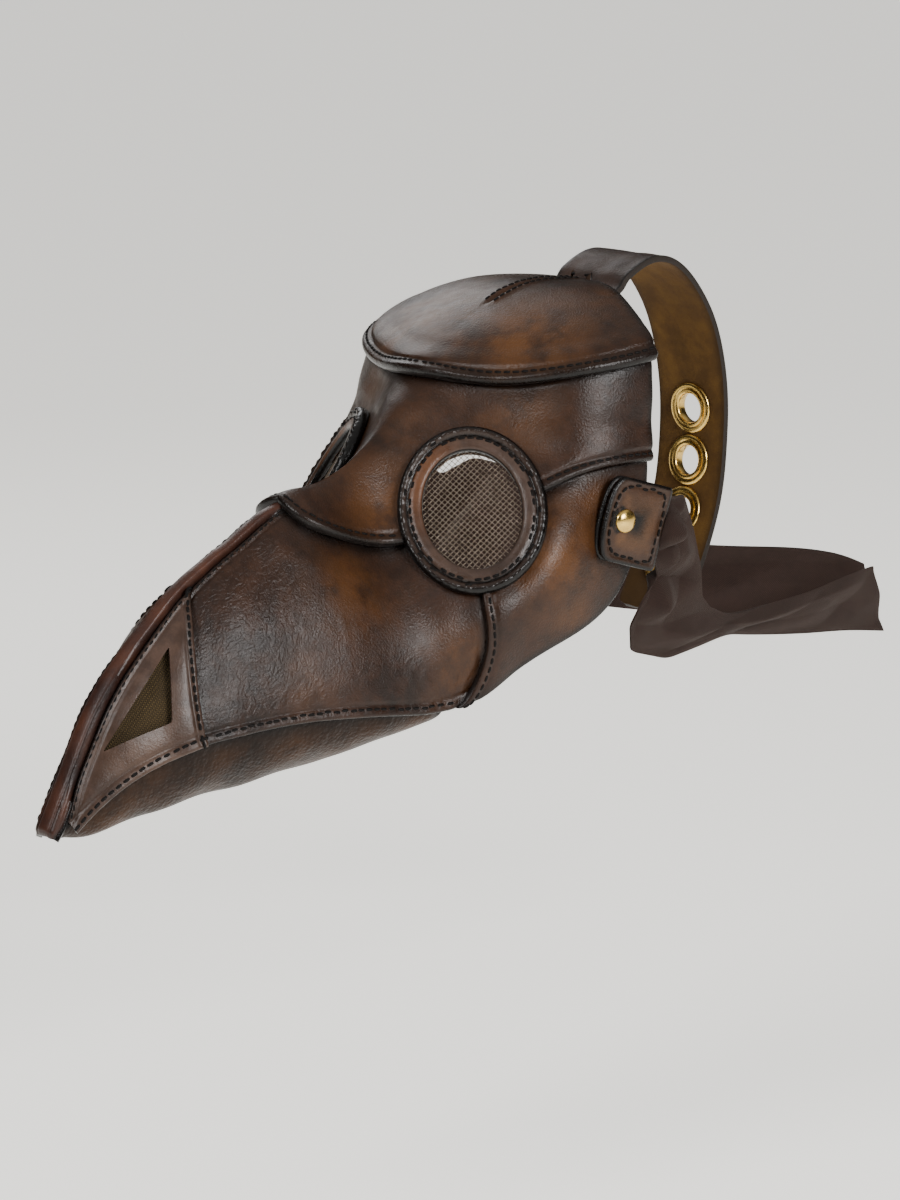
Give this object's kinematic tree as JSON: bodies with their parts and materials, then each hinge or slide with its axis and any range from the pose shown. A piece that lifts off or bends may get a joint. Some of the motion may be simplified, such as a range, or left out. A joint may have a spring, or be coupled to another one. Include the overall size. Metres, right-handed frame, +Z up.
{
  "type": "plague doctor mask",
  "caption": "Leather mask with a long down-curved hollow beak, round mesh eyes, nostril cut-outs, a forehead cap, side tabs with cloth ties and a top strap with eyelets.",
  "frame": {"origin": "centre of the face opening at its rear edge, at the wearer's eye level", "axes": "-Y the way the wearer and the beak face, +X the wearer's left, +Z up"},
  "size_m": [0.1808, 0.5441, 0.2095],
  "materials": {
    "mask_leather": "hand-dyed dark brown with orange-brown patches, satin",
    "nostril_leather": "smoother greyed brown, satin",
    "beak_trim_leather": "warm reddish brown, burnished",
    "ring_leather": "greyed brown with a black burnished rim",
    "tab_leather": "brown with a black burnished edge",
    "strap_leather": "smooth outside, suede inside",
    "tie_cotton": "matte brown cotton",
    "lining_cloth": "olive-brown woven cloth",
    "wire_mesh": "dark bronze woven wire",
    "brass": "polished, lightly aged"
  },
  "bodies": {
    "mask": {"forehead_cap": "mask_leather", "brow_panel": "mask_leather", "beak_ridge_strip": "beak_trim_leather", "beak_underside": "beak_trim_leather", "cheek_panel_left": "mask_leather", "cheek_panel_right": "mask_leather", "beak_side_left": "mask_leather", "beak_side_right": "mask_leather", "nostril_panel_left": "nostril_leather", "nostril_panel_right": "nostril_leather", "nostril_lining_left": "lining_cloth", "nostril_lining_right": "lining_cloth", "eye_ring_left": "ring_leather", "eye_ring_right": "ring_leather", "eye_mesh_left": "wire_mesh", "eye_mesh_right": "wire_mesh", "eye_backing_left": "mask_leather", "eye_backing_right": "mask_leather", "tab_rivet_left": "brass", "tab_rivet_right": "brass", "rivet_burr_left": "brass", "rivet_burr_right": "brass", "strap_tongue": "strap_leather"},
    "strap": {"top_strap": "strap_leather", "strap_eyelet_1": "brass", "strap_eyelet_2": "brass", "strap_eyelet_3": "brass", "strap_eyelet_4": "brass", "eyelet_washer_1": "brass", "eyelet_washer_2": "brass", "eyelet_washer_3": "brass", "eyelet_washer_4": "brass"},
    "tab_left": {"tab_back_left": "tab_leather", "tab_front_left": "tab_leather", "tie_sewn_end_left": "tie_cotton"},
    "tie_left": {"cloth_tie_left": "tie_cotton"},
    "tab_right": {"tab_back_right": "tab_leather", "tab_front_right": "tab_leather", "tie_sewn_end_right": "tie_cotton"},
    "tie_right": {"cloth_tie_right": "tie_cotton"}
  },
  "joints": [
    {"name": "strap_flex", "type": "hinge", "parent": "mask", "child": "strap", "pos_m": [0, 0.044, 0.091], "axis": [1, 0, 0], "range_deg": [-10, 45], "stiffness_Nm_per_rad": 1.5},
    {"name": "tab_swivel_left", "type": "hinge", "parent": "mask", "child": "tab_left", "pos_m": [0.0749, -0.0215, 0.0027], "axis": [0.9877, -0.1564, 0], "range_deg": [-30, 30]},
    {"name": "tab_swivel_right", "type": "hinge", "parent": "mask", "child": "tab_right", "pos_m": [-0.0749, -0.0215, 0.0027], "axis": [0.9877, 0.1564, 0], "range_deg": [-30, 30]},
    {"name": "tie_fold_left", "type": "hinge", "parent": "tab_left", "child": "tie_left", "pos_m": [0.0867, -0.0006, -0.0042], "axis": [-0.0457, -0.2888, -0.9563], "range_deg": [0, 60]},
    {"name": "tie_fold_right", "type": "hinge", "parent": "tab_right", "child": "tie_right", "pos_m": [-0.0867, -0.0006, -0.0042], "axis": [-0.0457, 0.2888, 0.9563], "range_deg": [0, 60]}
  ]
}
